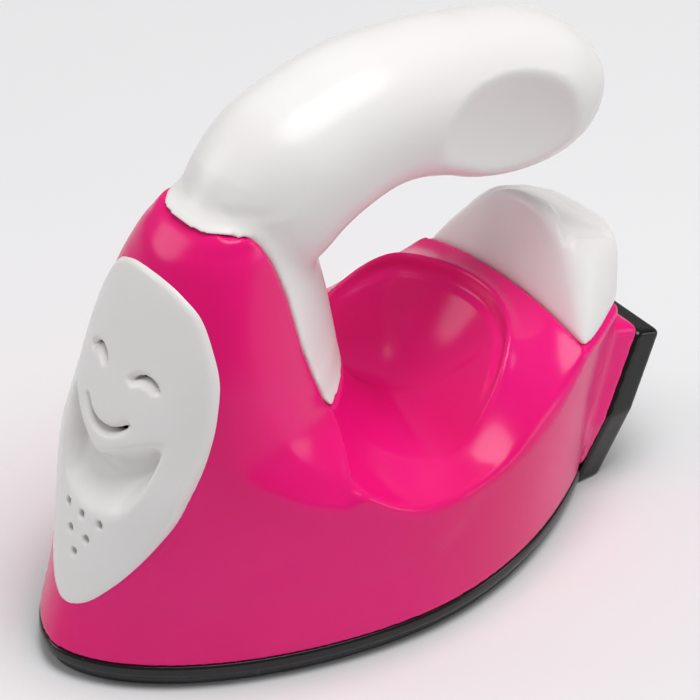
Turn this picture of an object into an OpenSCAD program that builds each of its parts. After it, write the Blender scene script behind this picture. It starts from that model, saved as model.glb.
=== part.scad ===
// Toy iron with a smiling face plate, a one-ended handle, a finger bowl and a heel rest.
// Frame: the nose points along -Y, the left side is +X, +Z is up, and Z = 0 is the sole's underside.

/* [Body] */
// Length of the rim, from the nose to the middle of the round back
body_l = 120; // [100:1:150]
// Width of the rim at its widest place
body_w = 63.6; // [56:0.2:80]
// Height of the bowl's lowest place above the table
bowl_z = 23.5; // [22:0.1:26]
// Height of the side wall's top edge beside the bowl
deck_z = 25.6; // [25:0.1:29]
// Height of the ring round the bowl at the back
ring_z = 40.6; // [37:0.1:43]
// Radius of the ring round the bowl
ring_r = 22.5; // [20:0.1:24]
// Height of the hood above the face
hood_z = 79.6; // [76:0.1:84]
// Wall of the moulded body and handle
wall = 2.2; // [1.8:0.1:2.6]

/* [Base] */
// Thickness of the soleplate
sole_t = 2.2; // [1.6:0.1:2.4]
// Thickness of the black skirt above it
skirt_t = 2.4; // [1.8:0.1:2.6]
// How far the soleplate's edge lies inside the skirt's
sole_inset = 1.4; // [0.6:0.1:2.4]

/* [Face] */
// Width of the face plate
face_w = 36; // [32:0.5:38]
// Height of the face plate's widest place
face_z = 42; // [40:0.5:44]
// Reach of the face plate above its widest place
face_up = 28.3; // [24:0.1:30]
// Reach of the face plate below its widest place
face_down = 30; // [26:0.1:31]
// Thickness of the face plate
face_t = 2; // [1.6:0.1:2.4]
// Diameter of each sound hole
sound_hole_d = 1.3; // [1:0.1:1.8]
// Spread of the two upper eyes from the middle
eye_x = 6; // [5:0.1:6.5]
// Height of the eyes
eye_z = 54.6; // [53:0.1:56]
// Height of the mouth's ends
mouth_z = 48; // [46.5:0.1:49]

/* [Handle] */
// Height of the handle's underside over the bowl
grip_under_z = 70.8; // [68:0.1:72]
// Height of the handle from underside to top
grip_h = 25; // [23:0.1:27]
// Width of the handle
grip_w = 26.4; // [24:0.1:29]
// Depth of the oval thumb facet in each side of the handle
facet_depth = 3.4; // [2:0.1:4]
// Height of the neck's lower end, where the white tongue meets the body
tongue_z = 41; // [40:0.1:42]

/* [Heel] */
// Thickness of the black heel plate
heel_t = 4.6; // [3.6:0.1:5]
// Width of the heel plate at its crease
heel_w = 34; // [30:0.5:36]
// Height of the heel plate
heel_h = 27; // [25:0.1:28]
// Thickness of the rubber pad on the heel plate
pad_t = 1; // [0.6:0.1:1.4]

/* [Battery] */
// Diameter of a cell
cell_d = 14.2; // [13.8:0.1:14.5]
// Length of a cell without its button
cell_l = 49.2; // [48:0.1:50]
// Thickness of the battery door
door_t = 1.8; // [1.4:0.1:2]
// Width of the battery door
door_w = 32; // [31:0.1:34]
// Length of the battery door
door_l = 55; // [54.5:0.1:57]

/* [Parts] */
// Diameter of the speaker
speaker_d = 20; // [18:0.5:22]
// Thickness of the circuit board
board_t = 1.6; // [1:0.1:2]
// Width of the circuit board
board_w = 22; // [18:0.5:24]
// Height of the circuit board
board_h = 38; // [34:0.5:40]
// Diameter of the lamp
lamp_d = 5; // [4:0.1:6]
// Travel of the power switch
switch_travel = 3; // [2:0.1:3.5]
// Thread diameter of the small screws
screw_d = 2.6; // [2:0.1:3]

/* [Hidden] */

// Gap between pieces that are laid together
fit = 0.15;
// Radial clearance of a pin that turns
run_fit = 0.06;
// Overrun of a cut past the face that it cuts
over = 0.6;
// Roundness of true circles
$fn = 48;

rim_z = sole_t + skirt_t;
half_w = body_w / 2;
nose_y = -body_l / 2;
// Place of the widest section and reach of the round back, as shares of the length
wide_y = body_l * -0.025;
back_reach = body_l * 0.519;
bowl_y = body_l * 0.067;
head_h = hood_z - rim_z;

// Rings of the head from the rim to the hood: height share of the head, then shares of the body's
// length for the front, the widest place and the back, the half width's share of the body's half
// width, and the exponents of the front and the back.
HEAD_SHARES = [
    [0.000, -0.492, -0.025, 0.020, 0.980, 1.75, 3.0],
    [0.100, -0.472, -0.025, 0.020, 0.980, 1.78, 3.0],
    [0.220, -0.453, -0.040, 0.020, 0.970, 1.85, 3.0],
    [0.310, -0.438, -0.075, 0.015, 0.965, 1.90, 2.6],
    [0.360, -0.429, -0.125, 0.008, 0.880, 2.00, 2.2],
    [0.410, -0.420, -0.175, 0.002, 0.775, 2.10, 1.9],
    [0.480, -0.406, -0.222, -0.006, 0.680, 2.10, 1.5],
    [0.570, -0.386, -0.242, -0.016, 0.630, 2.05, 1.5],
    [0.665, -0.365, -0.250, -0.026, 0.575, 2.05, 1.5],
    [0.770, -0.339, -0.250, -0.042, 0.500, 2.05, 1.55],
    [0.860, -0.313, -0.240, -0.058, 0.425, 2.05, 1.6],
    [0.930, -0.288, -0.225, -0.070, 0.350, 2.00, 1.7],
    [0.980, -0.260, -0.205, -0.085, 0.255, 2.00, 1.8],
    [1.000, -0.230, -0.195, -0.120, 0.140, 2.00, 2.0],
];

// The handle's lengthwise sections: shares of the body's length for the top point, its share of the
// grip's height over the grip's underside, the same two for the lower point, and the half width's share.
GRIP_SHARES = [
    [-0.250, 0.22, -0.110, -0.36, 0.60],
    [-0.238, 0.36, -0.086, -0.36, 0.78],
    [-0.205, 0.58, -0.060, -0.28, 0.92],
    [-0.140, 0.81, -0.029, -0.14, 0.99],
    [-0.050, 0.94, 0.008, -0.05, 1.00],
    [0.021, 1.00, 0.050, 0.00, 1.00],
    [0.083, 1.00, 0.096, -0.02, 1.00],
    [0.158, 0.97, 0.150, -0.11, 1.00],
    [0.233, 0.90, 0.200, -0.22, 1.02],
    [0.308, 0.81, 0.258, -0.29, 1.02],
    [0.365, 0.70, 0.312, -0.30, 0.99],
    [0.400, 0.58, 0.354, -0.26, 0.90],
    [0.426, 0.44, 0.390, -0.17, 0.72],
    [0.440, 0.28, 0.416, -0.03, 0.42],
];

// The line where the neck leaves the hood, from the hood's top to the tongue.
cut_top_y = nose_y / 2;
cut_top_z = hood_z - body_l * 0.004;
cut_low_y = nose_y * 0.217;

function clamp(v, low, high) = max(low, min(high, v));
function ease(t) = let (u = clamp(t, 0, 1)) u * u * (3 - 2 * u);
function mix(a, b, t) = a + (b - a) * t;
function curve(a, n) = pow(max(0, a), 2 / n);

// Row of a table at a value of its first column, on straight lines between its rows.
function row_at(table, v) = [for (k = [0:len(table[0]) - 1]) lookup(v, [for (r = table) [r[0], r[k]]])];

// One closed ring of the head at a share of its height, drawn in by a wall.
function head_ring(share, inset, n) =
    let (
        r = row_at(HEAD_SHARES, share),
        z = rim_z + share * head_h,
        front = r[1] * body_l + inset,
        wide = r[2] * body_l,
        back = r[3] * body_l - inset,
        w = r[4] * half_w - inset,
        half = [for (i = [0:n]) let (a = 180 * i / n) a <= 90
            ? [w * curve(sin(a), r[5]), wide - (wide - front) * curve(cos(a), r[5]), z]
            : [w * curve(sin(a), r[6]), wide + (back - wide) * curve(-cos(a), r[6]), z]]
    )
    [for (p = half) p, for (i = [n - 1:-1:1]) [-half[i][0], half[i][1], half[i][2]]];

// Rings joined into one closed solid, with flat ends.
module loft(rings) {
    count = len(rings[0]);
    polyhedron(
        points = [for (r = rings) each r],
        faces = [
            [for (i = [0:count - 1]) i],
            [for (i = [count - 1:-1:0]) (len(rings) - 1) * count + i],
            for (k = [0:len(rings) - 2], i = [0:count - 1])
                let (a = k * count + i, b = k * count + (i + 1) % count)
                each [[a, a + count, b], [b, a + count, b + count]],
        ]
    );
}

// One mesh of a body made of several lofts.
module moulded() {
    resize([0, 0, 0]) children();
}

// The rim's half outline at a height, from the nose to the back.
flare_share = 0.35;
heel_lean = 0.34;
front_share = 0.004;
function back_y(z) = body_l * 0.335 + (z - rim_z) * heel_lean;
function rim_half(z, inset, n) =
    let (
        lift = clamp((z - rim_z) / head_h, 0, 1),
        front = (lookup(lift, [for (r = HEAD_SHARES) [r[0], r[1]]]) - front_share) * body_l + inset,
        reach = back_reach + (z - rim_z) * flare_share,
        w = half_w,
        end = back_y(z) - inset
    )
    [
        for (i = [0:n]) let (a = 90 * i / n)
            [(w - inset) * curve(sin(a), 1.75), wide_y - (wide_y - front) * curve(cos(a), 1.75)],
        for (i = [1:n]) let (y = mix(wide_y, end, i / n), u = (y - wide_y) / reach)
            [w * (1 - u * u) - inset, y],
    ];
function rim_ring(z, inset, n) =
    let (half = rim_half(z, inset, n), last = len(half) - 1)
    [for (p = half) [p[0], p[1], z], for (i = [last:-1:1]) [-half[i][0], half[i][1], z]];
function rim_outline(z, inset, n) = [for (p = rim_ring(z, inset, n)) [p[0], p[1]]];

// Height of the upper surface behind the head: bowl, ring, dome and the shelf under the cap.
cap_y = body_l * 0.303;
cap_seat_z = ring_z - body_l * 0.05;
foot_reach = body_l * 0.14;
foot_rise = tongue_z - bowl_z;
foot_front_y = wide_y - body_l * 0.12;
ledge_y = wide_y - body_l * 0.05;
ledge_z = rim_z + head_h * 0.3;
function ring_height(turn) = mix(ring_z, deck_z + body_l * 0.006, ease((turn - 54) / 40));
function foot_gap(x, y) =
    let (
        r = row_at(HEAD_SHARES, (tongue_z - rim_z) / head_h),
        v = max(0, (y / body_l - r[2]) / (r[3] - r[2])),
        n = r[6]
    )
    (pow(pow(abs(x) / (half_w * r[4]), n) + pow(v, n), 1 / n) - 1) * foot_reach;
function foot(x, y) =
    let (u = clamp(1 - foot_gap(x, y) / foot_reach, 0, 1))
    foot_rise * (1 - sqrt(1 - u * u));
function deck_edge(y) = deck_z + body_l * (0.035 * ease((-y - body_l * 0.03) / (body_l * 0.1))
    + 0.025 * ease((y - body_l * 0.06) / (body_l * 0.16))
    + 0.058 * ease((y - body_l * 0.24) / (body_l * 0.07)));
function deck(x, y) =
    let (
        r = norm([x, y - bowl_y]),
        turn = abs(atan2(abs(x), y - bowl_y)),
        crest = ring_height(turn),
        u = (y - wide_y) / (back_reach + (deck_z - rim_z) * flare_share),
        side = half_w * (1 - u * u),
        from_ring = max(0, r - ring_r),
        from_edge = max(-wall, side - abs(x)),
        out = clamp(from_ring / max(fit, from_ring + from_edge), 0, 1.4),
        inner = bowl_z + (crest - bowl_z) * pow(clamp(r / ring_r, 0, 1), 3),
        outer = mix(crest, deck_edge(y), pow(out, 1.4)),
        surface = r < ring_r ? inner : outer
    )
    y > cap_y ? min(surface, cap_seat_z) : min(surface + foot(x, y), max(surface, tongue_z - fit));

// A solid under the upper surface, lowered by a wall.
module under_deck(lower, step_count_x, step_count_y) {
    low_y = nose_y * 1.05;
    high_y = body_l / 2;
    xs = [for (i = [0:step_count_x]) mix(-half_w * 1.1, half_w * 1.1, i / step_count_x)];
    ys = [for (j = [0:step_count_y]) mix(low_y, high_y, j / step_count_y)];
    nx = len(xs);
    top = [for (y = ys, x = xs) [x, y, deck(x, y) - lower]];
    base = len(top);
    corners = [[xs[0], low_y, 0], [xs[nx - 1], low_y, 0], [xs[nx - 1], high_y, 0], [xs[0], high_y, 0]];
    polyhedron(
        points = concat(top, corners),
        faces = [
            for (j = [0:len(ys) - 2], i = [0:nx - 2])
                let (a = j * nx + i)
                each [[a, a + nx, a + 1], [a + 1, a + nx, a + nx + 1]],
            concat([for (i = [0:nx - 1]) i], [base + 1, base]),
            concat([for (i = [nx - 1:-1:0]) (len(ys) - 1) * nx + i], [base + 3, base + 2]),
            concat([for (j = [len(ys) - 1:-1:0]) j * nx], [base, base + 3]),
            concat([for (j = [0:len(ys) - 1]) j * nx + nx - 1], [base + 2, base + 1]),
            [base, base + 1, base + 2, base + 3],
        ]
    );
}

// The space above the ledge in front of the scoop, which only the head fills.
module front_block(lower) {
    translate([-body_w, nose_y * 1.2, ledge_z - lower]) cube([2 * body_w, ledge_y - nose_y * 1.2, body_l]);
}

// Everything in front of the scoop and of the line where the neck leaves the hood.
module before_cut(shift, back) {
    rotate([90, 0, 90]) translate([0, 0, -body_w]) linear_extrude(2 * body_w) polygon([
        [nose_y * 1.2, 0],
        [foot_front_y - back, 0],
        [foot_front_y - back, tongue_z - shift],
        [cut_low_y - shift, tongue_z - shift],
        [cut_top_y - shift, cut_top_z],
        [cut_top_y - shift, hood_z * 1.2],
        [nose_y * 1.2, hood_z * 1.2],
    ]);
}

module head_solid(inset, n, low_share) {
    shares = [for (r = HEAD_SHARES) if (r[0] >= low_share && r[0] <= 1 - inset / head_h) r[0]];
    loft([for (s = shares) head_ring(s, inset, n)]);
}

module hull_solid(inset, n, low_z) {
    top_z = ring_z * 1.1;
    loft([for (k = [0:4]) rim_ring(mix(low_z, top_z, k / 4), inset, n)]);
}

// The pink boss that carries the heel plate, and the heel plate's side view.
heel_low_y = body_l * 0.342;
heel_mid_y = body_l * 0.383;
heel_mid_z = heel_h * 0.5;
heel_top_y = body_l * 0.45;
heel_slant = 0.3;
function heel_line(shift) = [
    [heel_low_y + shift, 0],
    [heel_mid_y + shift, heel_mid_z - shift * heel_slant],
    [heel_top_y + shift, heel_h - shift * heel_slant],
];
module heel_side(front, back) {
    rotate([90, 0, 90]) translate([0, 0, -heel_w]) linear_extrude(2 * heel_w)
        polygon(concat(heel_line(front), [for (k = [2:-1:0]) heel_line(back)[k]]));
}
module heel_back(inset, low_z) {
    rotate([90, 0, 0]) translate([0, 0, -body_l]) linear_extrude(2 * body_l) polygon([
        [-heel_w * 0.42 + inset, low_z + inset],
        [heel_w * 0.42 - inset, low_z + inset],
        [heel_w * 0.5 - inset, heel_mid_z],
        [heel_w * 0.41 - inset, heel_h * 1.3 - inset],
        [-heel_w * 0.41 + inset, heel_h * 1.3 - inset],
        [-heel_w * 0.5 + inset, heel_mid_z],
    ]);
}

// The face plate's outline, looking at it from the front, grown by a gap.
egg_share = 1.35;
function egg(grow) = [for (i = [0:59]) let (a = 6 * i, s = sin(a), c = cos(a))
    [sign(s) * (face_w / 2 + grow) * pow(abs(s), egg_share),
     face_z + c * ((c > 0 ? face_up : face_down) + grow)]];
module face_prism(grow) {
    rotate([90, 0, 0]) translate([0, 0, body_l * 0.24]) linear_extrude(body_l * 0.3) polygon(egg(grow));
}

module body_shell() {
    color("deeppink") moulded() difference() {
        union() {
            intersection() {
                union() {
                    difference() {
                        hull_solid(0, 12, rim_z);
                        front_block(0);
                    }
                    head_solid(0, 20, 0);
                }
                union() {
                    before_cut(0, 0);
                    under_deck(0, 28, 58);
                }
            }
            difference() {
                intersection() {
                    heel_side(-body_l * 0.09, 0);
                    heel_back(0, rim_z);
                }
                translate([0, 0, -half_w]) cube([2 * body_w, 2 * body_l, 2 * half_w], center = true);
            }
        }
        intersection() {
            union() {
                difference() {
                    translate([0, 0, -over]) hull_solid(wall, 8, rim_z);
                    front_block(wall);
                }
                head_solid(wall, 14, 0);
            }
            union() {
                before_cut(-over, wall);
                under_deck(wall, 16, 34);
            }
        }
        translate([-neck_w / 2 - fit, cut_low_y + neck_gap - fit, tongue_z - neck_t - over])
            cube([neck_w + 2 * fit, neck_l + 2 * fit, neck_t + 2 * over]);
        face_prism(fit);
        for (p = HEEL_SCREWS) translate([p[0], heel_screw_y - heel_t * 2 - over, p[1]]) rotate([-90, 0, 0])
            cylinder(h = heel_t * 3, d = screw_d + 2 * fit, $fn = 20);
        for (s = [-1, 1]) translate([s * cap_screw_x, cap_screw_y, cap_seat_z - wall - over])
            cylinder(h = wall + 2 * over, d = screw_d + 2 * fit, $fn = 20);
    }
}

module face_plate() {
    color("white") moulded() difference() {
        intersection() {
            head_solid(0, 20, 0.05);
            face_prism(0);
        }
        head_solid(face_t, 16, 0);
        for (side = [-1, 1]) translate([side * eye_x, 0, eye_z - arc_r]) arc_cut(arc_r, 50, 130);
        translate([0, 0, mouth_z + mouth_r * 0.45]) arc_cut(mouth_r, 218, 322);
        for (p = SOUND_HOLES) translate([p[0], nose_y, p[1]]) rotate([-90, 0, 0])
            cylinder(h = body_l * 0.3, d = sound_hole_d, $fn = 16);
    }
}

// Eyes and mouth are narrow arcs cut through the plate.
arc_r = 3.4;
arc_w = 0.7;
mouth_r = 7;
module arc_cut(r, from, to) {
    rotate([90, 0, 0]) translate([0, 0, body_l * 0.2]) linear_extrude(body_l * 0.3) polygon(concat(
        [for (i = [0:8]) let (a = mix(from, to, i / 8)) (r + arc_w / 2) * [cos(a), sin(a)]],
        [for (i = [8:-1:0]) let (a = mix(from, to, i / 8)) (r - arc_w / 2) * [cos(a), sin(a)]]
    ));
}
hole_pitch = 4.2;
hole_row_z = 28.5;
SOUND_HOLES = [
    for (i = [-1:1]) [i * hole_pitch, hole_row_z],
    for (i = [-1, 1]) [i * hole_pitch / 2, hole_row_z - hole_pitch * 0.83],
    [0, hole_row_z - hole_pitch * 1.6],
];

// One section of the handle, between its top and lower points.
function grip_ring(row, inset, n) =
    let (
        top = [row[0] * body_l, grip_under_z + row[1] * grip_h],
        low = [row[2] * body_l, grip_under_z + row[3] * grip_h],
        mid = (top + low) / 2,
        arm = (top - low) / 2,
        span = norm(arm),
        k = (span - inset) / span,
        w = row[4] * grip_w / 2 - inset
    )
    [for (i = [0:n - 1]) let (a = 360 * i / n, c = cos(a), s = sin(a))
        [w * sign(s) * pow(abs(s), 0.9), mid[0] + arm[0] * k * sign(c) * pow(abs(c), 0.9),
         mid[1] + arm[1] * k * sign(c) * pow(abs(c), 0.9)]];

facet_r = 42;
facet_y = body_l * 0.222;
facet_z = grip_under_z + grip_h * 0.31;
module handle_solid(inset, n) {
    difference() {
        union() {
            loft([for (k = [(inset > 0 ? 1 : 0):len(GRIP_SHARES) - (inset > 0 ? 2 : 1)])
                grip_ring(GRIP_SHARES[k], inset, n)]);
            intersection() {
                head_solid(inset, 18, 0.4);
                translate([-half_w, nose_y, tongue_z + inset])
                    cube([body_w, body_l, cut_top_z - tongue_z - 2 * inset]);
            }
        }
        rotate([90, 0, 90]) translate([0, 0, -body_w]) linear_extrude(2 * body_w) polygon([
            [nose_y * 1.2, 0],
            [cut_low_y + inset, 0],
            [cut_low_y + inset, tongue_z],
            [cut_top_y + inset, cut_top_z],
            [cut_top_y + inset, hood_z * 1.2],
            [nose_y * 1.2, hood_z * 1.2],
        ]);
        for (side = [-1, 1])
            translate([side * (grip_w / 2 - facet_depth + facet_r - inset), facet_y, facet_z])
                sphere(r = facet_r, $fn = 96);
    }
}
module handle_half(side) {
    color("white") moulded() intersection() {
        difference() {
            handle_solid(0, 24);
            handle_solid(wall, 14);
        }
        translate([side > 0 ? 0 : -body_w, nose_y, 0]) cube([body_w, 2 * body_l, 2 * hood_z]);
    }
}
module handle_left() {
    handle_half(1);
}
module handle_right() {
    handle_half(-1);
}

// The white cap behind the ring: a faceted dome with a notch in its top.
cap_h = 18;
cap_w = 45;
cap_l = body_l * 0.18;
module cap_point(x_share, y_share, z_share) {
    translate([x_share * cap_w / 2, cap_y + fit + y_share * cap_l + cap_edge, cap_seat_z + z_share * cap_h])
        sphere(r = cap_edge, $fn = 12);
}
cap_edge = 0.6;
cap_screw_x = cap_w * 0.24;
cap_screw_y = cap_y + cap_l * 0.34;
module cap_half(side) {
    cap_point(side * 0.97, 0.00, 0.035);
    cap_point(side * 0.45, 0.00, 0.20);
    cap_point(side * 0.10, 0.00, 0.28);
    cap_point(side * 0.50, 0.22, 0.78);
    cap_point(side * 0.14, 0.20, 0.97);
    cap_point(side * 0.46, 0.76, 0.60);
    cap_point(side * 0.16, 0.94, 0.44);
    cap_point(side * 0.50, 0.72, 0.035);
    cap_point(side * 0.16, 0.94, 0.035);
}
module rear_cap() {
    color("white") moulded() difference() {
        hull() {
            cap_half(1);
            cap_half(-1);
        }
        translate([0, cap_y + cap_l * 0.5, cap_seat_z - over])
            linear_extrude(cap_h * 0.34 + over) square([cap_w * 0.38, cap_l * 0.62], center = true);
    }
}

// Black skirt, soleplate and the holes in them.
post_y = body_l * -0.33;
frame_y = body_l * 0.20;
frame_x = half_w * 0.62;
SOLE_SCREWS = [[half_w * 0.22, post_y], [-half_w * 0.22, post_y], [frame_x, frame_y], [-frame_x, frame_y]];
switch_y = body_l * -0.395;
box_wall = 1.6;
door_y = body_l * -0.02;
screw_head_d = screw_d * 1.9;
screw_head_t = screw_d * 0.55;
skirt_cut_y = heel_low_y - fit;

module base_outline(inset) {
    intersection() {
        polygon(rim_outline(rim_z, inset, 16));
        translate([-half_w, nose_y]) square([body_w, skirt_cut_y - nose_y]);
    }
}
module door_hole(grow) {
    translate([-door_w / 2 - grow, door_y - door_l / 2 - grow]) square([door_w + 2 * grow, door_l + 2 * grow]);
}
slot_w = 4;
slot_l = slot_w + switch_travel;
module base_skirt() {
    color("black") difference() {
        translate([0, 0, sole_t]) linear_extrude(skirt_t) base_outline(0);
        translate([0, 0, sole_t - over]) linear_extrude(skirt_t + 2 * over) door_hole(-lip);
        for (p = SOLE_SCREWS) translate([p[0], p[1], 0]) cylinder(h = 2 * rim_z, d = screw_d + 2 * fit);
        translate([-slot_l / 2 - fit, switch_y - slot_w / 2 - fit, 0])
            cube([slot_l + 2 * fit, slot_w + 2 * fit, 2 * rim_z]);
    }
}
lip = 1;
door_pin_d = 1.4;
door_rise = 0.3;
door_pin_z = door_t / 2 + door_rise;
module soleplate() {
    color("dimgray") difference() {
        linear_extrude(sole_t) base_outline(sole_inset);
        translate([0, 0, -over]) linear_extrude(sole_t + 2 * over) door_hole(fit);
        for (p = SOLE_SCREWS) translate([p[0], p[1], -over]) {
            cylinder(h = 2 * rim_z, d = screw_d + 2 * fit);
            cylinder(h = over + screw_head_t + fit, d = screw_head_d + 2 * fit);
        }
        translate([-slot_l / 2 - fit, switch_y - slot_w / 2 - fit, -over])
            cube([slot_l + 2 * fit, slot_w + 2 * fit, 2 * rim_z]);
        translate([-door_w / 2 - pin_reach - fit, door_y - door_l / 2 + door_t / 2, door_pin_z])
            rotate([0, 90, 0]) cylinder(h = door_w + 2 * pin_reach + 2 * fit, d = door_pin_d + 2 * run_fit);
    }
}
pin_reach = 2;
door_screw_y = door_y + door_l / 2 - screw_head_d * 0.9;
module battery_door() {
    color("black") difference() {
        union() {
            translate([-door_w / 2, door_y - door_l / 2 + door_t / 2, door_rise])
                cube([door_w, door_l - door_t / 2, door_t]);
            translate([-door_w / 2, door_y - door_l / 2 + door_t / 2, door_pin_z])
                rotate([0, 90, 0]) cylinder(h = door_w, d = door_t);
            translate([-door_w / 2 - pin_reach, door_y - door_l / 2 + door_t / 2, door_pin_z])
                rotate([0, 90, 0]) cylinder(h = door_w + 2 * pin_reach, d = door_pin_d);
        }
        translate([0, door_screw_y, -over]) cylinder(h = 2 * rim_z, d = screw_d + 2 * run_fit);
        translate([0, door_screw_y, -over])
            cylinder(h = over + door_rise + screw_head_t, d = screw_head_d + 2 * run_fit);
    }
}

module heel_plate() {
    color("black") difference() {
        intersection() {
            heel_side(0, heel_t);
            heel_back(0, 0);
        }
        for (p = HEEL_SCREWS) translate([p[0], heel_low_y - over, p[1]]) rotate([-90, 0, 0])
            cylinder(h = body_l * 0.2, d = screw_d + 2 * fit);
        for (p = HEEL_SCREWS) translate([p[0], heel_screw_y - screw_head_t - fit, p[1]]) rotate([-90, 0, 0])
            cylinder(h = body_l * 0.2, d = screw_head_d + 2 * fit);
    }
}
HEEL_SCREWS = [[-heel_w * 0.28, heel_mid_z * 0.6], [heel_w * 0.28, heel_mid_z * 0.6]];
module heel_pad() {
    color("black") intersection() {
        heel_side(heel_t, heel_t + pad_t);
        heel_back(2 * pad_t, 0);
    }
}

module screw(x, y, z, length) {
    color("silver") translate([x, y, z]) {
        cylinder(h = screw_head_t, d = screw_head_d);
        cylinder(h = length, d = screw_d);
    }
}

// Posts and frames inside the body.
post_d = 6;
post_top = bowl_z - wall - over;
post_h = post_top - rim_z;
module bored_post(x, y, base_z, height, depth) {
    translate([x, y, base_z]) difference() {
        cylinder(h = height, d = post_d);
        translate([0, 0, -over]) cylinder(h = depth + over, d = screw_d + 2 * run_fit);
    }
}
sole_screw_l = rim_z + post_d * 0.9;
front_post_top = rim_z + post_d * 1.55;
block_l = post_d * 1.15;
block_w = board_w * 0.95;
module front_post() {
    color("hotpink") difference() {
        union() {
            for (k = [0, 1])
                bored_post(SOLE_SCREWS[k][0], SOLE_SCREWS[k][1], rim_z, front_post_top - rim_z, post_d);
            translate([-SOLE_SCREWS[0][0], post_y - post_d / 2, front_post_top - bridge_t])
                cube([2 * SOLE_SCREWS[0][0], post_d, bridge_t]);
            translate([-block_w / 2, board_y - block_l, front_post_top - bridge_t])
                cube([block_w, block_l, board_screw_z + screw_head_d / 2 - front_post_top + bridge_t]);
        }
        for (s = [-1, 1]) translate([s * board_w * 0.38, board_y + over, board_screw_z]) rotate([90, 0, 0])
            cylinder(h = board_t * 2 + over, d = screw_d + 2 * run_fit);
        for (k = [0, 1]) translate([SOLE_SCREWS[k][0], SOLE_SCREWS[k][1], rim_z - over])
            cylinder(h = post_d + over, d = screw_d + 2 * run_fit);
    }
}
bridge_t = 2;
module rear_post(k) {
    color("hotpink") bored_post(SOLE_SCREWS[k][0], SOLE_SCREWS[k][1], rim_z, post_h, post_h * 0.5);
}
module rear_post_left() {
    rear_post(2);
}
module rear_post_right() {
    rear_post(3);
}

module battery_box() {
    color("dimgray") difference() {
        translate([-door_w / 2 - fit, door_y - door_l / 2, rim_z])
            cube([door_w + 2 * fit, door_l, post_top - rim_z]);
        translate([-door_w / 2 + lip, door_y - door_l / 2 + lip, rim_z - over])
            cube([door_w - 2 * lip, door_l - 2 * lip, post_top - rim_z - box_wall + over]);
    }
}
cell_z = rim_z + cell_d / 2 + fit;
module cell(side) {
    color("gold") translate([side * (cell_d / 2 + fit), door_y, cell_z]) rotate([side * 90, 0, 0]) {
        cylinder(h = cell_l, d = cell_d, center = true);
        translate([0, 0, cell_l / 2]) cylinder(h = button_h, d = cell_d * 0.38);
    }
}
button_h = 1.2;
tab_t = 0.4;
tab_h = cell_d * 0.7;
module tab(x, w, front) {
    tab_y = front ? door_y - door_l / 2 + lip : door_y + door_l / 2 - lip - tab_t;
    color("silver") translate([x - w / 2, tab_y, cell_z - tab_h / 2]) cube([w, tab_t, tab_h]);
}

module neck_bracket() {
    color("hotpink") difference() {
        translate([-neck_w / 2, cut_low_y + neck_gap, tongue_z - neck_t]) cube([neck_w, neck_l, neck_t]);
        for (s = [-1, 1]) translate([s * neck_w * 0.25, neck_screw_y, 0])
            cylinder(h = hood_z, d = screw_d + 2 * run_fit);
    }
}
neck_w = 11;
neck_l = 5;
neck_t = 4;
neck_gap = 1;
neck_screw_y = cut_low_y + neck_gap + neck_l / 2;

board_y = nose_y * 0.56;
board_z = bowl_z * 0.6;
module circuit_board() {
    color("green") difference() {
        translate([-board_w / 2, board_y, board_z]) cube([board_w, board_t, board_h]);
        for (s = [0, 1]) translate([board_w * 0.38 * (s * 2 - 1), board_y - over, board_screw_z]) rotate([-90, 0, 0])
            cylinder(h = board_t + 2 * over, d = screw_d + 2 * fit);
    }
}
board_screw_z = board_z + board_h * 0.1;
chip_w = 8;
chip_t = 1.4;
module sound_chip() {
    color("black") translate([-chip_w / 2, board_y + board_t, board_z + board_h * 0.3]) cube([chip_w, chip_t, chip_w]);
}
lamp_z = mouth_z + lamp_d * 0.6;
cup_depth = 3.6;
cup_w = 18;
cup_h = 13;
lamp_stem = 0.6;
module lamp() {
    color("red") translate([0, board_y, lamp_z]) rotate([90, 0, 0]) {
        cylinder(h = lamp_stem, d = lamp_d);
        intersection() {
            translate([0, 0, lamp_stem]) sphere(d = lamp_d);
            cylinder(h = 2 * lamp_d, d = 2 * lamp_d);
        }
    }
}
module light_cup() {
    color("red") translate([-cup_w / 2, board_y - cup_depth - cup_face, lamp_z - cup_h / 2]) difference() {
        cube([cup_w, cup_depth + cup_face, cup_h]);
        translate([cup_face, cup_face, cup_face])
            cube([cup_w - 2 * cup_face, cup_depth + over, cup_h - 2 * cup_face]);
    }
}
cup_face = 1;
speaker_y = nose_y * 0.753;
speaker_t = 4;
speaker_z = hole_row_z - hole_pitch * 0.7;
module speaker() {
    color("gray") translate([0, speaker_y, speaker_z]) rotate([-90, 0, 0]) {
        cylinder(h = speaker_t, d = speaker_d);
        cylinder(h = speaker_t * 1.5, d = speaker_d * 0.45);
    }
}
module speaker_ring() {
    color("hotpink") translate([0, speaker_y, speaker_z]) rotate([-90, 0, 0]) difference() {
        cylinder(h = speaker_t, d = speaker_d + 2 * ring_wall);
        translate([0, 0, -over]) cylinder(h = speaker_t + 2 * over, d = speaker_d + 2 * run_fit);
    }
}
ring_wall = 1.4;

switch_h = 5;
module switch_body() {
    color("silver") difference() {
        translate([-slot_l, switch_y - slot_w, rim_z]) cube([2 * slot_l, 2 * slot_w, switch_h]);
        translate([-slot_l / 2 - fit, switch_y - slot_w / 2 - fit, rim_z - over])
            cube([slot_l + 2 * fit, slot_w + 2 * fit, switch_h * 0.5 + over]);
    }
}
module switch_slider() {
    color("white") translate([-slot_l / 2, switch_y - slot_w / 2, door_rise])
        cube([slot_w, slot_w, rim_z + switch_h * 0.5 - door_rise - fit]);
}

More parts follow.
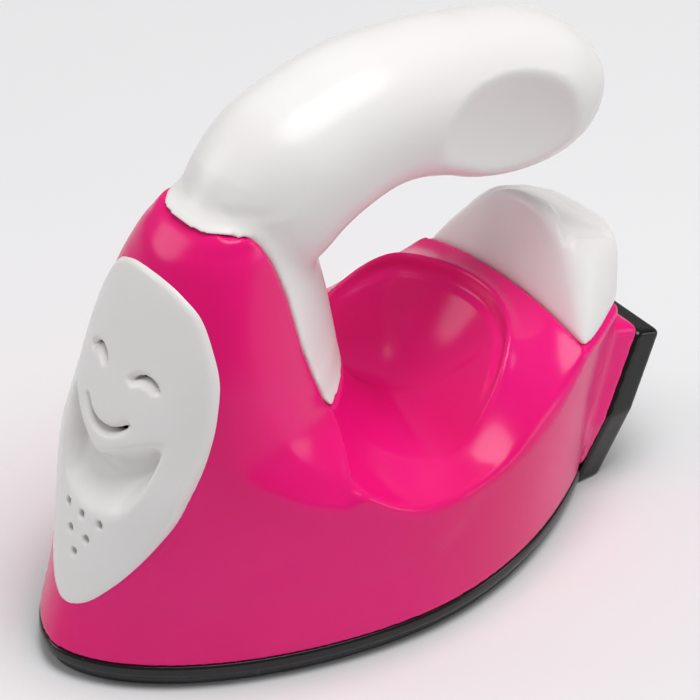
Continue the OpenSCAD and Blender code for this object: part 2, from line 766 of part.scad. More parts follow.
module heel_screw(p) {
    color("silver") translate([p[0], heel_screw_y, p[1]]) rotate([90, 0, 0]) {
        cylinder(h = screw_head_t, d = screw_head_d);
        cylinder(h = heel_t * 2, d = screw_d);
    }
}
heel_screw_y = heel_low_y + heel_t * 1.2;
module board_screw(side) {
    color("silver") translate([side * board_w * 0.38, board_y + board_t + screw_head_t, board_screw_z])
        rotate([90, 0, 0]) {
            cylinder(h = screw_head_t, d = screw_head_d);
            cylinder(h = board_t * 3, d = screw_d);
        }
}
module door_screw() {
    screw(0, door_screw_y, door_rise, rim_z + post_d * 0.4);
}
module cell_1() {
    cell(1);
}
module cell_2() {
    cell(-1);
}
module cell_bridge() {
    tab(0, cell_d * 1.5, true);
}
module cell_tab_1() {
    tab(cell_d * 0.55, cell_d * 0.6, false);
}
module cell_tab_2() {
    tab(-cell_d * 0.55, cell_d * 0.6, false);
}
module sole_screw_1() {
    screw(SOLE_SCREWS[0][0], SOLE_SCREWS[0][1], 0, sole_screw_l);
}
module sole_screw_2() {
    screw(SOLE_SCREWS[1][0], SOLE_SCREWS[1][1], 0, sole_screw_l);
}
module sole_screw_3() {
    screw(SOLE_SCREWS[2][0], SOLE_SCREWS[2][1], 0, sole_screw_l);
}
module sole_screw_4() {
    screw(SOLE_SCREWS[3][0], SOLE_SCREWS[3][1], 0, sole_screw_l);
}
module neck_screw_1() {
    screw(neck_w * 0.25, neck_screw_y, tongue_z - neck_t - screw_head_t, neck_t + screw_head_t);
}
module neck_screw_2() {
    screw(-neck_w * 0.25, neck_screw_y, tongue_z - neck_t - screw_head_t, neck_t + screw_head_t);
}
module heel_screw_1() {
    heel_screw(HEEL_SCREWS[0]);
}
module heel_screw_2() {
    heel_screw(HEEL_SCREWS[1]);
}
module cap_screw_1() {
    screw(cap_screw_x, cap_screw_y, cap_seat_z - wall - over - screw_head_t, wall + over + screw_head_t);
}
module cap_screw_2() {
    screw(-cap_screw_x, cap_screw_y, cap_seat_z - wall - over - screw_head_t, wall + over + screw_head_t);
}
module board_screw_1() {
    board_screw(1);
}
module board_screw_2() {
    board_screw(-1);
}

body_shell();
face_plate();
handle_left();
handle_right();
rear_cap();
base_skirt();
soleplate();
heel_plate();
heel_pad();
neck_bracket();
front_post();
rear_post_left();
rear_post_right();
battery_box();
battery_door();
door_screw();
cell_1();
cell_2();
cell_bridge();
cell_tab_1();
cell_tab_2();
circuit_board();
sound_chip();
lamp();
light_cup();
speaker();
speaker_ring();
switch_body();
switch_slider();
sole_screw_1();
sole_screw_2();
sole_screw_3();
sole_screw_4();
neck_screw_1();
neck_screw_2();
heel_screw_1();
heel_screw_2();
cap_screw_1();
cap_screw_2();
board_screw_1();
board_screw_2();
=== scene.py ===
# %% [markdown]
# # A toy iron, dressed over its construction
# The construction gives the sizes, the moving bodies and the hidden parts. This file makes the
# skins that the eye meets: glossy pink and white mouldings, a black base and a rubber heel. The
# skins are cut from fields of lengths, because a moulded toy has soft fillets everywhere and a
# field can blend two forms with a chosen radius, where joined meshes would leave hard seams.

# %% The frame
import itertools
import math
import bmesh
import bpy
import numpy as np
from collections import namedtuple
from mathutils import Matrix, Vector


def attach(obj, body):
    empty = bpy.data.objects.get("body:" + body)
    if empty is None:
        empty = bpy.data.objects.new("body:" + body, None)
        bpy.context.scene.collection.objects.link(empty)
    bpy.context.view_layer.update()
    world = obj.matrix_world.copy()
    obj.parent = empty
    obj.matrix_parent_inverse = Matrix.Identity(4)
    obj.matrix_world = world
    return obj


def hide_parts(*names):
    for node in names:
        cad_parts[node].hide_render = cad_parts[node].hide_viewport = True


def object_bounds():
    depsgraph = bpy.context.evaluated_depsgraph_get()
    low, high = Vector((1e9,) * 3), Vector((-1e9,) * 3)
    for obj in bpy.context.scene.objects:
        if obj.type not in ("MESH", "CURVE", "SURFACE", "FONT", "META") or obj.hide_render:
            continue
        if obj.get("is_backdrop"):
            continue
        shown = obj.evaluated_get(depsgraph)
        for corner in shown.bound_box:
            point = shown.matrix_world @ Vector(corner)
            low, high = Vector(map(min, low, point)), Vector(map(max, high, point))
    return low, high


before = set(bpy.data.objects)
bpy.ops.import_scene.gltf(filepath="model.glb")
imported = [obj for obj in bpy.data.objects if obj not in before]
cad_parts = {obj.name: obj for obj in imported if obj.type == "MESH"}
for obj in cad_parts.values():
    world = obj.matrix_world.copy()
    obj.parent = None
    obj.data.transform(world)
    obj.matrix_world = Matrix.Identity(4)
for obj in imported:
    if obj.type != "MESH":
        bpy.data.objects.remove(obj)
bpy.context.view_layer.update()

# %% [markdown]
# ## Camera
# The iron is seen from its left front, from above, by a long lens: its base lines hardly
# converge. The camera's place was worked out beforehand, from the base outline.

# %% Camera
MM = 0.001
LENS, SENSOR, NEAREST = 276.8, 36, 0.01
CAMERA_PLACE = Vector((582.9, -452.5, 555.2))
CAMERA_AIM = Vector((2.0, 1.4, 39.0))
lens = bpy.data.cameras.new("studio_lens")
lens.lens = LENS
lens.sensor_width = SENSOR
lens.clip_start = NEAREST
camera = bpy.data.objects.new("studio_camera", lens)
bpy.context.scene.collection.objects.link(camera)
camera.location = CAMERA_PLACE * MM
aim = CAMERA_AIM * MM - camera.location
camera.rotation_euler = aim.to_track_quat("-Z", "Y").to_euler()
bpy.context.scene.camera = camera
print("camera distance, mm:", round(aim.length / MM))

# %% [markdown]
# ## Sizes
# Lengths are in millimetres. The body, the bowl, the rim and the cap's seat have the sizes of
# the construction, to a tenth, so that their skins sit where their solids do. The form of the
# hood and the neck line follow the photograph instead. Each row of the head holds a
# share of its height, then its front, its widest place and its back as shares of the length,
# its half width as a share of the body's, and how square its plan is in front and behind.

# %% Sizes
BODY_L, HALF_W, WALL = 120.0, 31.8, 2.2
BOWL_Z, DECK_Z, RING_R, BOWL_Y = 23.5, 25.6, 22.5, 8.04
HOOD_Z, RIM_Z, TONGUE_Z = 79.6, 4.6, 41.0
WIDE_Y, BACK_REACH = -3.0, 62.3
HEAD_H = HOOD_Z - RIM_Z
CAP_Y, CAP_SEAT_Z = 36.4, 34.6
HEAD = np.array([
    [0.000, -0.492, -0.025, 0.020, 0.980, 1.75, 3.0],
    [0.100, -0.472, -0.025, 0.020, 0.980, 1.78, 3.0],
    [0.220, -0.453, -0.045, 0.020, 0.962, 1.85, 3.0],
    [0.310, -0.438, -0.090, 0.015, 0.928, 1.92, 2.6],
    [0.360, -0.429, -0.130, 0.008, 0.882, 2.00, 2.2],
    [0.410, -0.420, -0.172, 0.002, 0.812, 2.07, 1.9],
    [0.480, -0.406, -0.215, -0.006, 0.704, 2.10, 1.5],
    [0.570, -0.386, -0.242, -0.016, 0.630, 2.05, 1.5],
    [0.665, -0.365, -0.250, -0.026, 0.575, 2.05, 1.5],
    [0.770, -0.339, -0.250, -0.042, 0.500, 2.05, 1.55],
    [0.860, -0.313, -0.240, -0.058, 0.425, 2.05, 1.6],
    [0.930, -0.288, -0.225, -0.070, 0.350, 2.00, 1.7],
    [0.980, -0.260, -0.205, -0.085, 0.255, 2.00, 1.8],
    [1.000, -0.230, -0.195, -0.120, 0.140, 2.00, 2.0],
])

# %% [markdown]
# ## Fields of lengths
# A field holds, at each point of a box, about how far that point is from a surface, and it is
# negative inside. Joining two forms takes the smaller of two fields and cutting takes the
# larger. The soft versions here do that with a fillet, whose size is the last number.

# %% Field helpers
Box = namedtuple("Box", "wide low_y high_y low_z high_z step")
LEAST_SLOPE = 1e-4

def ease(t):
    """Runs from 0 to 1 with a soft start and end."""
    u = np.clip(t, 0, 1)
    return u * u * (3 - 2 * u)

def mix(a, b, t):
    return a + (b - a) * t

def bell(v, wide):
    """One at zero, falling off evenly on both sides."""
    return np.exp(-(v / wide) ** 2)

def join(a, b, fillet):
    h = np.clip(0.5 + 0.5 * (b - a) / fillet, 0, 1)
    return b + (a - b) * h - fillet * h * (1 - h)

def keep_both(a, b, fillet):
    return -join(-a, -b, fillet)

def smooth_row(v, xs, ys):
    """A smooth line through a table's column."""
    slope = np.gradient(ys, xs)
    k = np.clip(np.searchsorted(xs, v) - 1, 0, len(xs) - 2)
    span = xs[k + 1] - xs[k]
    t = np.clip((v - xs[k]) / span, 0, 1)
    a, b = t * t, t * t * t
    return ((2 * b - 3 * a + 1) * ys[k] + (b - 2 * a + t) * span * slope[k]
            + (3 * a - 2 * b) * ys[k + 1] + (b - a) * span * slope[k + 1])

def as_length(gauge, step):
    """Turns a gauge that is zero on a surface into a length near it."""
    parts = np.gradient(gauge, step)
    return gauge / np.maximum(np.sqrt(sum(p * p for p in parts)), LEAST_SLOPE)

def half_box(box):
    """The points of the left half of a box. The right half is its mirror image."""
    x = (np.arange(int(box.wide / box.step) + 1) + 0.5) * box.step
    y = np.arange(box.low_y, box.high_y, box.step)
    z = np.arange(box.low_z, box.high_z, box.step)
    return np.meshgrid(x, y, z, indexing="ij")

# %% [markdown]
# ## From a field to a mesh
# One point is set in each small cell that the surface passes through, at the middle of its
# crossings, and each crossed edge of the grid gets one quad. That keeps the mesh even, and
# four-sided, which shades far better on gloss than the slivers of a joined mesh.

# %% Field to mesh
def surface_of(half_field, box):
    """Points and faces of the surface where a field is zero."""
    field = np.concatenate([half_field[::-1], half_field]).astype(np.float32)
    low = np.array([(0.5 - half_field.shape[0]) * box.step, box.low_y, box.low_z])
    inside = field < 0
    n = [s - 1 for s in field.shape]
    offsets = list(itertools.product((0, 1), repeat=3))
    filled = sum(inside[i:n[0] + i, j:n[1] + j, k:n[2] + k].astype(np.int8) for i, j, k in offsets)
    mixed = (filled > 0) & (filled < 8)
    cells = np.argwhere(mixed)
    number = np.full(mixed.shape, -1, np.int32)
    number[mixed] = np.arange(len(cells))
    total = np.zeros((len(cells), 3))
    hits = np.zeros(len(cells))
    for a, b in itertools.combinations(offsets, 2):
        if sum(abs(p - q) for p, q in zip(a, b)) != 1:
            continue
        fa = field[tuple((cells + a).T)]
        fb = field[tuple((cells + b).T)]
        crossed = (fa < 0) != (fb < 0)
        t = (fa / np.where(crossed, fa - fb, 1))[crossed]
        total[crossed] += np.array(a) + t[:, None] * (np.array(b) - np.array(a))
        hits[crossed] += 1
    points = low + (cells + total / hits[:, None]) * box.step
    quads = []
    for axis in range(3):
        u, v = (axis + 1) % 3, (axis + 2) % 3
        first = np.take(inside, range(n[axis]), axis)
        last = np.take(inside, range(1, n[axis] + 1), axis)
        edge = np.argwhere(first != last)
        edge = edge[(edge[:, u] > 0) & (edge[:, v] > 0) & (edge[:, u] < n[u]) & (edge[:, v] < n[v])]
        side_u, side_v = np.eye(3, dtype=int)[u], np.eye(3, dtype=int)[v]
        ring = [edge - side_u - side_v, edge - side_v, edge, edge - side_u]
        quad = np.stack([number[tuple(c.T)] for c in ring], 1)
        outward = first[tuple(edge.T)]
        quads.append(np.where(outward[:, None], quad, quad[:, ::-1]))
    return points, np.concatenate(quads)

def piece_of(name, points, faces, body, nodes):
    """Makes a piece from points in millimetres, on its body, in place of its nodes."""
    mesh = bpy.data.meshes.new(name)
    mesh.from_pydata((np.asarray(points) * MM).tolist(), [], [list(map(int, f)) for f in faces])
    mesh.validate()
    mesh.polygons.foreach_set("use_smooth", [True] * len(mesh.polygons))
    piece = bpy.data.objects.new(name, mesh)
    bpy.context.scene.collection.objects.link(piece)
    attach(piece, body)
    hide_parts(*nodes)
    print(name, "points:", len(mesh.vertices), "faces:", len(mesh.polygons))
    return piece

# %% [markdown]
# A field is only known at the grid's points, so its mesh has faint ripples that gloss shows up
# at once. A few passes of smoothing take them out and leave the form, as polishing does with a
# steel mould.

# %% Polishing
def shaped(piece, kind, name, **settings):
    """Adds a modifier and applies it to the mesh."""
    step = piece.modifiers.new(name, kind)
    for key, value in settings.items():
        setattr(step, key, value)
    graph = bpy.context.evaluated_depsgraph_get()
    mesh = bpy.data.meshes.new_from_object(piece.evaluated_get(graph))
    piece.modifiers.clear()
    piece.data = mesh

def skin_of(part, half_field, box, nodes, passes):
    """Makes a part's skin from its field and smooths it a number of times."""
    points, faces = surface_of(half_field, box)
    skin = piece_of(part + "_skin", points, faces, "iron", nodes)
    shaped(skin, "SMOOTH", "polish", factor=0.5, iterations=passes)
    return skin

# %% [markdown]
# ## The outer skin of the body
# The base outline is a boat: a round nose, sides that close in towards the heel, and a slanted
# back. The head grows out of it in one flowing wall. Both are told by gauges, as the ratio of a
# point's place to the outline's, and then turned into lengths.

# %% Skin gauges
TINY = 1e-6
HOOD_DROP, HOOD_FILLET = 0.5, 1.4
CROWN_Z, CROWN_Y, CROWN_RISE, CROWN_COS, CROWN_FILLET = 75.2, -34.0, 0.60, 0.857, 2.0
BOAT_POWER, BOAT_LEAD, BACK_SPREAD = 1.75, 0.004, 0.35
BACK_SHARE, BACK_LEAN, BACK_SECANT = 0.335, 0.34, 1.056
NECK_COS = 0.93

def head_gauge(x, y, z):
    share = np.clip((z - RIM_Z) / HEAD_H, 0, 1)
    front, wide, back, w, sharp_front, sharp_back = (
        smooth_row(share, HEAD[:, 0], HEAD[:, k]) for k in range(1, 7))
    front, wide, back, w = front * BODY_L, wide * BODY_L, back * BODY_L, w * HALF_W
    v = np.where(y < wide, (wide - y) / (wide - front), (y - wide) / (back - wide))
    power = np.where(y < wide, sharp_front, sharp_back)
    plan = np.power(np.abs(x) / w, power) + np.power(np.abs(v) + TINY, power)
    return np.power(plan, 1 / power) - 1

def hood_field(x, y, z, step):
    """The head with its top rounded off towards the front."""
    head = keep_both(as_length(head_gauge(x, y, z), step), z - HOOD_Z + HOOD_DROP, HOOD_FILLET)
    return keep_both(head, (z - CROWN_Z - CROWN_RISE * (y - CROWN_Y)) * CROWN_COS, CROWN_FILLET)

def boat_gauge(x, y, z):
    share = np.clip((z - RIM_Z) / HEAD_H, 0, 1)
    front = (smooth_row(share, HEAD[:, 0], HEAD[:, 1]) - BOAT_LEAD) * BODY_L
    v = np.clip((WIDE_Y - y) / (WIDE_Y - front), TINY, None)
    plan = np.power(np.abs(x) / HALF_W, BOAT_POWER) + np.power(v, BOAT_POWER)
    ahead = np.power(plan, 1 / BOAT_POWER) - 1
    u = (y - WIDE_Y) / (BACK_REACH + (z - RIM_Z) * BACK_SPREAD)
    return np.where(y < WIDE_Y, ahead, np.abs(x) / HALF_W - (1 - u * u))

def back_of(y, z):
    """Length behind the slanted back."""
    return (y - BODY_L * BACK_SHARE - (z - RIM_Z) * BACK_LEAN) / BACK_SECANT

NECK_LINE = np.array([[41.0, -13.0], [42.7, -14.4], [47.9, -16.2], [54.3, -18.1], [63.7, -19.6],
                      [70.7, -21.6], [74.8, -23.4], [76.5, -25.0], [77.1, -28.0], [77.5, -32.0]])

def neck_line(y, z):
    """Length behind the bowed line where the white neck leaves the pink hood."""
    return (y - np.interp(z, NECK_LINE[:, 0], NECK_LINE[:, 1])) * NECK_COS

# %% [markdown]
# ## The scoop behind the head
# Fingers dip into a round bowl under the handle. Round it stands a soft ring with a groove
# inside it, high at the back and fading along the sides, and the neck's foot flares into the
# bowl. As all of it is seen from above, it is one height over the plan. The tables hold the
# rim's height along the side, and the place and height of the rim that sweeps down in front.

# %% Scoop height
RIM = np.array([[-20.0, 33.5], [-15.4, 30.6], [-9.0, 27.3], [-3.0, 25.8], [3.5, 25.3], [10.7, 25.7],
                [18.6, 27.1], [27.4, 29.9], [32.9, 33.0], [36.6, 35.3], [44.0, 37.0]])
FRONT_RIM = np.array([[0.0, -13.0, 40.6], [14.0, -14.0, 40.6], [18.5, -15.2, 39.0],
                      [22.8, -16.7, 36.2], [27.1, -17.2, 33.0], [30.1, -15.6, 30.7],
                      [33.5, -13.0, 28.5]])
CREST_Z, CREST_OVER_DECK = 39.6, 0.7
CREST_TURN, CREST_FADE, GROOVE_TURN, GROOVE_FADE = 38, 62, 50, 26
BEAD_OUT, BEAD_W, BEAD_H = 0.6, 0.9, 0.55
GROOVE_IN, GROOVE_W, GROOVE_D = 1.1, 0.8, 1.05
SIDE_REACH, LEAST_PATH, FARTHEST = 7.3, 0.15, 1.3
BOWL_POWER, DECK_POWER = 1.7, 1.15
FOOT_W, FOOT_L, FOOT_Y, FOOT_POWER, FOOT_UNDER = 21.6, 25.9, -26.6, 1.5, 0.1
SWEEP_L, SWEEP_POWER, SWEEP_FILLET = 15.0, 2.4, 1.6

def scoop_height(x, y):
    r = np.hypot(x, y - BOWL_Y)
    turn = np.degrees(np.abs(np.arctan2(x, y - BOWL_Y)))
    crest = mix(DECK_Z + CREST_OVER_DECK, CREST_Z, 1 - ease((turn - CREST_TURN) / CREST_FADE))
    u = (y - WIDE_Y) / (BACK_REACH + SIDE_REACH)
    side = HALF_W * (1 - u * u)
    from_ring = np.maximum(0, r - RING_R)
    from_edge = np.maximum(-WALL, side - x)
    out = np.clip(from_ring / np.maximum(LEAST_PATH, from_ring + from_edge), 0, FARTHEST)
    edge = smooth_row(np.clip(y, RIM[0, 0], RIM[-1, 0]), RIM[:, 0], RIM[:, 1])
    inner = BOWL_Z + (crest - BOWL_Z) * np.clip(r / RING_R, 0, 1) ** BOWL_POWER
    surface = np.where(r < RING_R, inner, mix(crest, edge, out ** DECK_POWER))
    bead = bell(r - RING_R - BEAD_OUT, BEAD_W) * BEAD_H
    groove = bead - bell(r - RING_R + GROOVE_IN, GROOVE_W) * GROOVE_D
    surface = surface + groove * (1 - ease((turn - GROOVE_TURN) / GROOVE_FADE))
    long = np.clip((y - FOOT_Y) / FOOT_L, 0, None)
    wedge = np.power(np.abs(x) / FOOT_W, FOOT_POWER) + np.power(long, FOOT_POWER)
    gap = np.clip(1 - (np.power(wedge, 1 / FOOT_POWER) - 1), 0, 1)
    foot = (TONGUE_Z - BOWL_Z) * (1 - np.sqrt(1 - gap * gap))
    rising = np.minimum(surface + foot, np.maximum(surface, TONGUE_Z - FOOT_UNDER))
    front_y, front_z = (np.interp(x, FRONT_RIM[:, 0], FRONT_RIM[:, k]) for k in (1, 2))
    behind = np.clip((y - front_y) / SWEEP_L, 0, 1)
    sweep = mix(DECK_Z, front_z, (1 - behind) ** SWEEP_POWER)
    rising = keep_both(rising, sweep, SWEEP_FILLET)
    return np.where(y > CAP_Y, np.minimum(surface, CAP_SEAT_Z), rising)

# %% [markdown]
# ## Body shell
# One injection-moulded shell of pink plastic, 2.2 mm thick and open below. The wall of the
# boat runs into the head with a wide fillet, while the edge of the scoop is a tight bead that
# catches the light. A pocket in front takes the face plate, and a boss behind takes the heel.

# %% Body fields
STEP = 0.46
BODY_BOX = Box(33.4, -61.0, 57.5, 3.6, 81.2, STEP)
STEEPEST = 6
LEDGE_Z, LEDGE_Y, LEDGE_RISE, LEDGE_FILLET = 27.5, -20.0, 1.1, 7.0
BACK_FILLET, BOAT_SLACK, BOAT_FILLET = 1.2, 0.15, 0.5
BLEND_LEAST, BLEND_MORE, BLEND_Z, BLEND_H = 0.3, 9.0, 14, 12
AHEAD_Y, AHEAD_MORE, AHEAD_Z, AHEAD_H = -17.4, 4.4, 33, 8
INNER_EDGE, HOOD_EDGE, SCOOP_EDGE, EDGE_H = 0.3, 0.35, 1.15, 3
X, Y, Z = half_box(BODY_BOX)

def deck_length(x, y, z, lower):
    """Length above the scoop, lowered for the inside."""
    plan = scoop_height(x[:, :, :1], y[:, :, :1])
    slope_x, slope_y = np.gradient(plan[:, :, 0], STEP)
    steep = np.sqrt(1 + np.minimum(slope_x ** 2 + slope_y ** 2, STEEPEST))[:, :, None]
    return (z - plan) / steep + lower

def body_field(shrink):
    """The skin, drawn in by a wall: the same forms serve outside and inside."""
    head = hood_field(X, Y, Z, STEP) + shrink
    boat = as_length(boat_gauge(X, Y, Z), STEP) + shrink
    ledge = Z - LEDGE_Z - LEDGE_RISE * np.clip(Y - LEDGE_Y, 0, None) + shrink
    wall = keep_both(keep_both(boat, ledge, LEDGE_FILLET), back_of(Y, Z) + shrink, BACK_FILLET)
    blend = BLEND_LEAST + BLEND_MORE * ease((Z - BLEND_Z) / BLEND_H)
    skin = keep_both(join(wall, head, blend), boat - BOAT_SLACK, BOAT_FILLET)
    ahead = Y - AHEAD_Y + shrink - AHEAD_MORE * ease((Z - AHEAD_Z) / AHEAD_H)
    before = np.where(Z < TONGUE_Z, np.maximum(neck_line(Y, Z), ahead), neck_line(Y, Z))
    under = deck_length(X, Y, Z, shrink)
    edge = INNER_EDGE if shrink else HOOD_EDGE + SCOOP_EDGE * ease((TONGUE_Z + 1 - Z) / EDGE_H)
    return keep_both(skin, np.minimum(before, under), edge)

outer = body_field(0.0)
inner = body_field(WALL)
print("body field cells:", outer.size, "inside:", int((outer < 0).sum()))

# %% [markdown]
# The heel boss is a block that leans back and is widest at its crease. The face pocket follows
# the plate's egg outline, round above and narrow below, and is a little smaller than the plate.

# %% Boss and pocket
FACE_T = 2.0
FACE = np.array([[-3.6, 69.2], [0.0, 69.5], [3.6, 69.2], [6.9, 68.2], [10.6, 65.9], [13.4, 61.5],
                 [15.5, 56.1], [16.3, 50.2], [16.4, 45.1], [16.0, 39.9], [14.8, 32.8], [12.6, 26.9],
                 [10.2, 22.1], [7.6, 18.0], [4.4, 14.6], [1.6, 13.1], [0.0, 12.9], [-1.6, 13.1]])
POCKET_GROW, POCKET_BACK_Y, POCKET_FILLET = -0.7, -26, 0.6
HEEL_W, HEEL_H, HEEL_T = 34.0, 27.0, 6.0
HEEL_LOW_Y, HEEL_MID_Y, HEEL_TOP_Y, HEEL_MID_Z = 41.04, 45.96, 54.0, 13.5
HEEL_LOW_COS, HEEL_HIGH_COS, HEEL_HIGH_SIN = 0.94, 0.859, 0.5118
HEEL_FOOT, HEEL_CREASE, HEEL_HEAD, HEEL_HEAD_AT, HEEL_SIDE_COS = 0.42, 0.5, 0.41, 1.3, 0.97
BOSS_DEEP, BOSS_Z, LID_FALL = 11, 28.6, 0.30
OUTLINE_POINTS, FAR_OFF = 241, 99.0

def heel_face(y, z, shift):
    """Length behind the heel's folded back line, moved back by a shift."""
    lean = z * (HEEL_MID_Y - HEEL_LOW_Y) / HEEL_MID_Z * HEEL_LOW_COS
    lower = (y - HEEL_LOW_Y - shift) * HEEL_LOW_COS - lean
    upper = (y - HEEL_MID_Y - shift) * HEEL_HIGH_COS - (z - HEEL_MID_Z) * HEEL_HIGH_SIN
    return np.minimum(lower, upper)

def heel_sides(x, z):
    """Length outside the heel's sides."""
    up = (z - HEEL_MID_Z) / (HEEL_H * HEEL_HEAD_AT - HEEL_MID_Z)
    low = np.abs(x) - mix(HEEL_W * HEEL_FOOT, HEEL_W * HEEL_CREASE, z / HEEL_MID_Z)
    high = np.abs(x) - mix(HEEL_W * HEEL_CREASE, HEEL_W * HEEL_HEAD, up)
    return np.where(z < HEEL_MID_Z, low, high) * HEEL_SIDE_COS

def egg(x, z, grow):
    """How far a point of the front view lies outside the face plate's outline."""
    flat_x, flat_z = x[:, 0, :], z[:, 0, :]
    knots = np.arange(len(FACE), dtype=float)
    along = np.linspace(1, len(FACE) - 2, OUTLINE_POINTS)
    line = np.stack([smooth_row(along, knots, FACE[:, k]) for k in (0, 1)], 1)
    near = np.full(flat_x.shape, FAR_OFF)
    for (ax, az), (bx, bz) in zip(line[:-1], line[1:]):
        dx, dz = bx - ax, bz - az
        t = np.clip(((flat_x - ax) * dx + (flat_z - az) * dz) / (dx * dx + dz * dz), 0, 1)
        near = np.minimum(near, np.hypot(flat_x - ax - t * dx, flat_z - az - t * dz))
    width = np.interp(flat_z, line[::-1, 1], line[::-1, 0], left=-1, right=-1)
    signed = np.where(flat_x < width, -near, near)
    return np.repeat((signed - grow)[:, None, :], x.shape[1], 1)

boss = keep_both(keep_both(heel_face(Y, Z, 0.0), heel_sides(X, Z), 0.8), HEEL_LOW_Y - BOSS_DEEP - Y, 0.5)
boss = keep_both(boss, Z - BOSS_Z + LID_FALL * (Y - HEEL_TOP_Y), 2.0)
boss = keep_both(boss, RIM_Z - Z, 0.3)
outer = join(outer, boss, 1.2)
outer = keep_both(outer, RIM_Z - Z, 0.4)
pocket = np.maximum(egg(X, Z, POCKET_GROW), Y - POCKET_BACK_Y)
shell = keep_both(outer, -inner, 0.3)
shell = keep_both(shell, -pocket, POCKET_FILLET)

# %% Body shell
body_shell = skin_of("body_shell", shell, BODY_BOX, ["body_shell"], 4)

# %% [markdown]
# ## Face plate
# A white plate stands half a millimetre proud of the shell, and its edge laps over the pocket's.
# Its cheek bulges over a soft three-cornered scoop. The eyes and the mouth are narrow arcs, slit
# in the middle of a shallow dent, and six small holes let the sound out.

# %% Face plate
FACE_BOX = Box(19.0, -58.5, -28.0, 11.0, 71.5, 0.32)
PROUD, PLATE_GROW, PLATE_FILLET = 0.5, 0.5, 0.8
CHEEK_Z, CHEEK_H, CHEEK_W, CHEEK_OUT = 47.5, 6.5, 10.5, 0.8
SCOOP_D, SCOOP_TOP_Z, SCOOP_TILT, SCOOP_TOP_H = 4.4, 40.6, 0.5, 4.2
CHIN_Z, CHIN_CURVE, CHIN_H = 29.0, 0.00050, 7.5
CORNER_X, CORNER_W = 8.5, 4.5
DENT_D, DENT_W, SLIT_IN, HOLE_R, HOLE_FILLET = 0.6, 0.45, 0.12, 0.72, 0.22
EYE, MOUTH = (6.0, 51.2, 3.4, 35, 145, 0.5), (0.0, 51.15, 7.0, 215, 325, 0.6)
HOLES = ((0.0, 28.5), (4.2, 28.5), (2.1, 25.0), (0.0, 21.8))
X, Y, Z = half_box(FACE_BOX)
front = as_length(head_gauge(X, Y, Z), FACE_BOX.step)

def arc_groove(x, z, cx, cz, r, low, high, w):
    """Length to a narrow arc that thins to its ends."""
    turn = np.degrees(np.arctan2(z - cz, x - cx)) % 360
    t = (turn - low) / (high - low)
    near = np.abs(np.hypot(x - cx, z - cz) - r)
    thin = np.sqrt(np.clip(1 - (2 * np.clip(t, 0, 1) - 1) ** 2, 0, 1))
    return np.where((t > 0) & (t < 1), near - w * thin, np.minimum(near + 2, 3))

below_cheek = ease((SCOOP_TOP_Z + SCOOP_TILT * X - Z) / SCOOP_TOP_H)
above_chin = ease((Z - CHIN_Z - CHIN_CURVE * X ** 4) / CHIN_H)
cheek = np.exp(-((Z - CHEEK_Z) / CHEEK_H) ** 2 - (X / CHEEK_W) ** 2)
sunk = below_cheek * above_chin * (1 - ease((X - CORNER_X) / CORNER_W))
front = front + SCOOP_D * sunk - CHEEK_OUT * cheek
mark = np.minimum(arc_groove(X, Z, *EYE), arc_groove(X, Z, *MOUTH))
front = front + DENT_D * bell(np.clip(mark, 0, None), DENT_W)
plate = keep_both(front - PROUD, -(front + FACE_T), 0.3)
plate = keep_both(plate, egg(X, Z, PLATE_GROW), PLATE_FILLET)
holes = np.full(X.shape, FAR_OFF)
for px, pz in HOLES:
    holes = np.minimum(holes, np.hypot(X - px, Z - pz) - HOLE_R)
plate = keep_both(plate, -np.minimum(holes, mark + SLIT_IN), HOLE_FILLET)
face_plate = skin_of("face_plate", plate, FACE_BOX, ["face_plate"], 3)

# %% [markdown]
# ## Handle
# Two white halves are closed along the middle, so the skin is one form with a fine parting
# line in its finish. The side view is told by lines from the top edge to the under edge. Each
# row holds the two ends of a line, as shares of the length and of the grip's height, and its half
# width as a share of the grip's. The neck is the back of the head, and it joins with a fillet.

# %% Handle
GRIP_Z, GRIP_H, GRIP_HALF_W = 70.8, 25.0, 13.2
GRIP = np.array([
    [-0.250, 0.22, -0.110, -0.36, 0.60],
    [-0.238, 0.36, -0.086, -0.36, 0.78],
    [-0.205, 0.58, -0.060, -0.28, 0.92],
    [-0.140, 0.81, -0.029, -0.14, 0.99],
    [-0.050, 0.94, 0.008, -0.05, 1.00],
    [0.021, 1.00, 0.050, 0.00, 1.00],
    [0.083, 1.00, 0.096, -0.02, 1.00],
    [0.158, 0.97, 0.150, -0.11, 1.00],
    [0.233, 0.90, 0.200, -0.22, 1.02],
    [0.308, 0.81, 0.258, -0.29, 1.02],
    [0.365, 0.70, 0.312, -0.30, 0.99],
    [0.400, 0.58, 0.354, -0.26, 0.90],
    [0.426, 0.44, 0.390, -0.17, 0.72],
    [0.440, 0.28, 0.416, -0.03, 0.42],
    [0.443, 0.20, 0.432, 0.10, 0.14],
])
GRIP_BOX = Box(16.5, -33.5, 56.0, 39.5, 97.5, 0.5)
GRIP_LINES, GRIP_POWER, GRIP_FAR, GRIP_END_FILLET = 260, 2.22, 9, 2.0
X, Y, Z = half_box(GRIP_BOX)
along = np.linspace(0, 1, GRIP_LINES)
places = np.linspace(0, 1, len(GRIP))
rows = np.stack([smooth_row(along, places, GRIP[:, k]) for k in range(5)], 1)
top = np.stack([rows[:, 0] * BODY_L, GRIP_Z + rows[:, 1] * GRIP_H], 1)
low = np.stack([rows[:, 2] * BODY_L, GRIP_Z + rows[:, 3] * GRIP_H], 1)
side_y, side_z = Y[0], Z[0]
passed = np.zeros(side_y.shape, int)
for a, b in zip(top, low):
    passed += ((b[0] - a[0]) * (side_z - a[1]) - (b[1] - a[1]) * (side_y - a[0])) > 0
row = np.clip(passed - 1, 0, len(rows) - 1)
middle, arm = (top + low) / 2, (top - low) / 2
reach = np.hypot(arm[:, 0], arm[:, 1])
